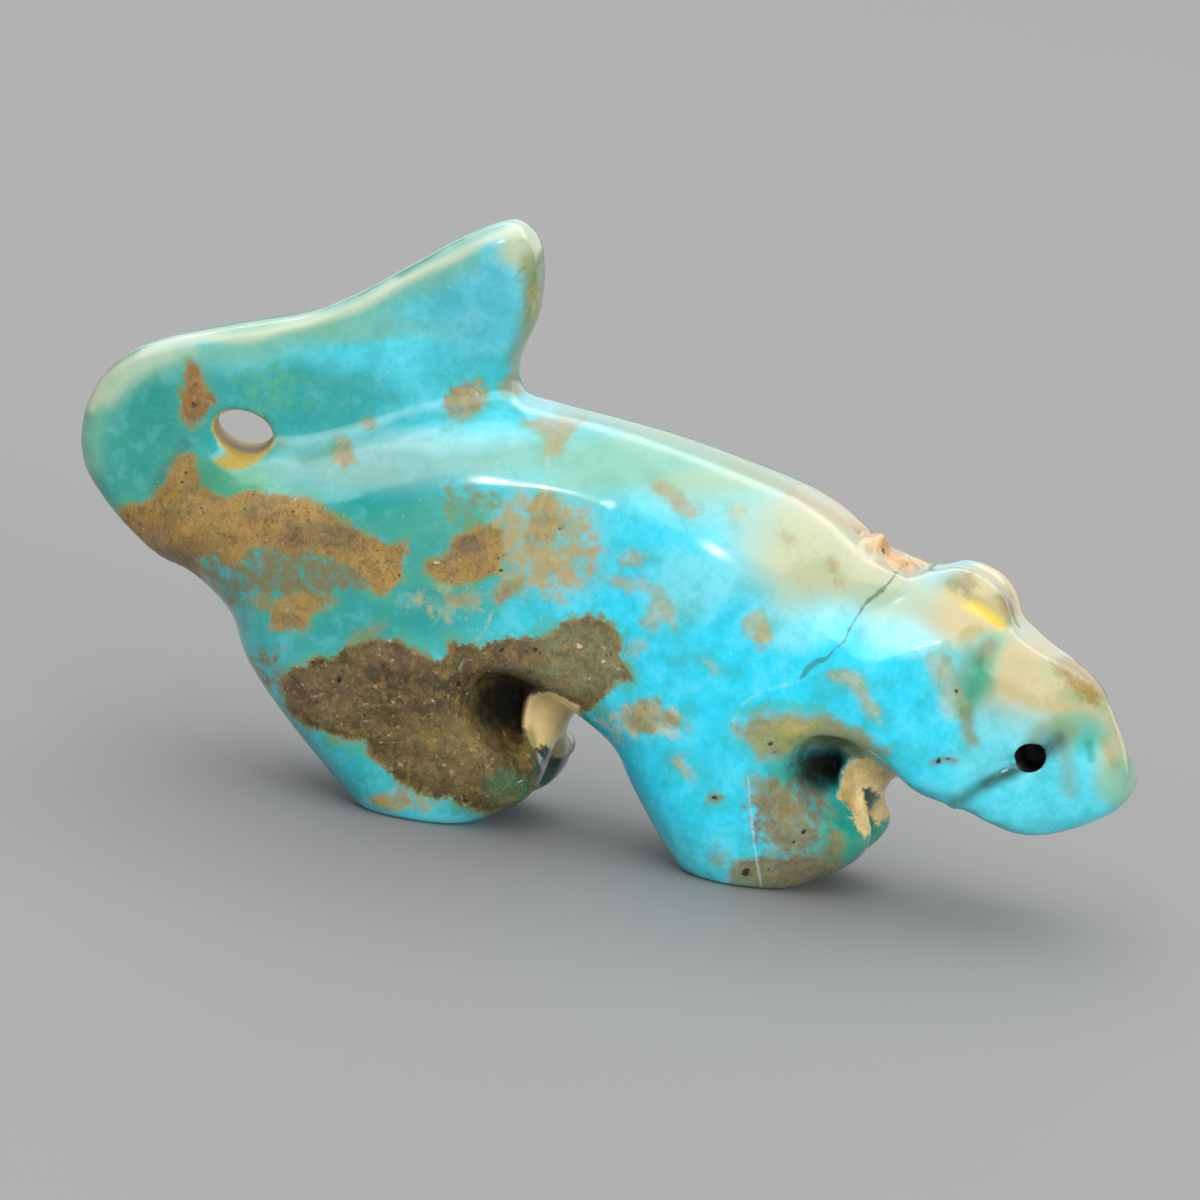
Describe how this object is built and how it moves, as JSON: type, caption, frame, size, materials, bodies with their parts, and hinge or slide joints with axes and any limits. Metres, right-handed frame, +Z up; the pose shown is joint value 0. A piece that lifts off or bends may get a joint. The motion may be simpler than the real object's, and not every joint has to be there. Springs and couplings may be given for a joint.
{
  "type": "carved stone mountain lion fetish",
  "caption": "Small polished turquoise carving of a walking mountain lion, head low and tail laid over its back, standing on flat-soled feet.",
  "frame": {"origin": "on the ground, under the middle of the carving's bounding box", "axes": "+X from the bend of the tail to the nose, +Y to the animal's left side, +Z up"},
  "size_m": [0.0519, 0.0134, 0.0278],
  "materials": {
    "turquoise": "polished, with brown matrix patches"
  },
  "bodies": {
    "root": {"mountain_lion": "turquoise"}
  },
  "joints": []
}
